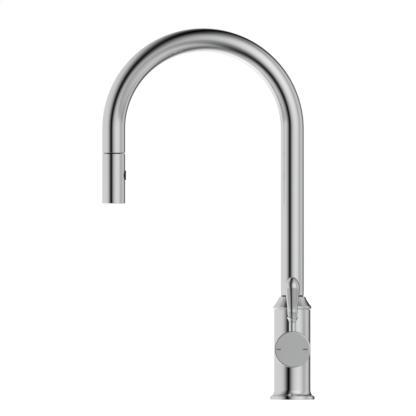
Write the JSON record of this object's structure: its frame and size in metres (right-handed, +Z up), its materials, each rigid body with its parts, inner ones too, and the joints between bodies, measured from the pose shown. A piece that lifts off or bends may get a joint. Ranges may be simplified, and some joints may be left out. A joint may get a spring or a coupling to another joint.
{
  "type": "pull-down kitchen faucet",
  "caption": "Single-hole kitchen faucet in polished chrome with a gooseneck swivel spout, a docking pull-down spray head with a button, and an upright side lever.",
  "frame": {"origin": "centre of the base at the top surface of the deck", "axes": "+Z up; the spout reaches towards -X; the handle hub faces -Y"},
  "size_m": [0.2603, 0.0857, 0.5448],
  "materials": {
    "polished_chrome": "polished chrome plate",
    "brass": "turned brass",
    "steel": "satin stainless steel",
    "copper": "drawn copper",
    "black_plastic": "satin black plastic",
    "grey_plastic": "fine textured grey plastic",
    "black_rubber": "moulded rubber",
    "ceramic": "lapped white ceramic",
    "hose_jacket": "smooth grey flexible hose jacket",
    "mark_enamel": "dark grey enamel fill"
  },
  "bodies": {
    "root": {"body_shell": "polished_chrome", "neck_collar": "polished_chrome", "base_gasket": "black_rubber", "mounting_shank": "brass", "deck_washer": "black_rubber", "clamp_washer": "steel", "lock_nut": "brass", "jack_screw_left": "steel", "jack_screw_right": "steel", "valve_body": "brass", "hot_inlet_pipe": "copper", "cold_inlet_pipe": "copper", "mixed_outlet_pipe": "copper", "hub_sleeve": "polished_chrome", "base_seal": "black_rubber", "cartridge_base": "grey_plastic", "cartridge_housing": "grey_plastic", "fixed_disc": "ceramic", "cartridge_nut": "brass", "bonnet": "polished_chrome", "swivel_bearing": "grey_plastic", "snap_ring": "steel", "spray_hose_lower": "hose_jacket", "hose_inlet_fitting": "brass"},
    "rotor": {"stem_rotor": "black_plastic", "pivot_pin": "steel"},
    "disc_slide": {"disc_carrier": "black_plastic", "moving_disc": "ceramic"},
    "handle": {"cartridge_stem": "brass", "handle_cap": "polished_chrome", "handle_set_screw": "steel", "lever_neck": "polished_chrome", "lever_grip": "polished_chrome", "hot_mark": "mark_enamel", "cold_mark": "mark_enamel"},
    "spout": {"swivel_spigot": "brass", "o_ring_lower": "black_rubber", "o_ring_upper": "black_rubber", "slip_ring": "black_plastic", "spout_tube": "polished_chrome", "spray_hose_upper": "hose_jacket", "dock_insert": "black_plastic", "magnet_ring": "steel"},
    "hose_end": {"hose_nut": "brass", "hose_tail": "hose_jacket"},
    "spray_head": {"head_shell": "polished_chrome", "head_core": "grey_plastic", "strike_ring": "steel", "check_valve": "grey_plastic", "spray_face": "grey_plastic", "nozzle_pad": "black_rubber", "aerator": "grey_plastic", "button_spring": "steel"},
    "spray_button": {"spray_button": "black_plastic", "diverter_spool": "grey_plastic"}
  },
  "joints": [
    {"name": "spout_swivel", "type": "hinge", "parent": "root", "child": "spout", "pos_m": [0, 0, 0.12], "axis": [0, 0, 1], "range_deg": [-180, 180]},
    {"name": "handle_temperature", "type": "hinge", "parent": "root", "child": "rotor", "pos_m": [0, -0.026, 0.0619], "axis": [0, -1, 0], "range_deg": [-45, 45]},
    {"name": "handle_flow", "type": "hinge", "parent": "rotor", "child": "handle", "pos_m": [0, -0.026, 0.0619], "axis": [1, 0, 0], "range_deg": [0, 22]},
    {"name": "disc_travel", "type": "slide", "parent": "rotor", "child": "disc_slide", "axis": [0, 0, 1], "range_m": [0, 0.0017]},
    {"name": "spray_pull_down", "type": "slide", "parent": "spout", "child": "hose_end", "axis": [0, 0, -1], "range_m": [0, 0.235], "stiffness_N_per_m": 4, "springref_m": -1.2, "deforming": ["hose_tail"]},
    {"name": "head_swivel", "type": "hinge", "parent": "hose_end", "child": "spray_head", "pos_m": [-0.2188, 0, 0.31], "axis": [0, 0, 1], "range_deg": [-180, 180]},
    {"name": "button_press", "type": "slide", "parent": "spray_head", "child": "spray_button", "axis": [-1, 0, 0], "range_m": [0, 0.0018], "stiffness_N_per_m": 800, "springref_m": -0.002}
  ],
  "couplings": [
    {"joint": "disc_travel", "follows": "handle_flow", "m_per_rad": 0.0042}
  ]
}
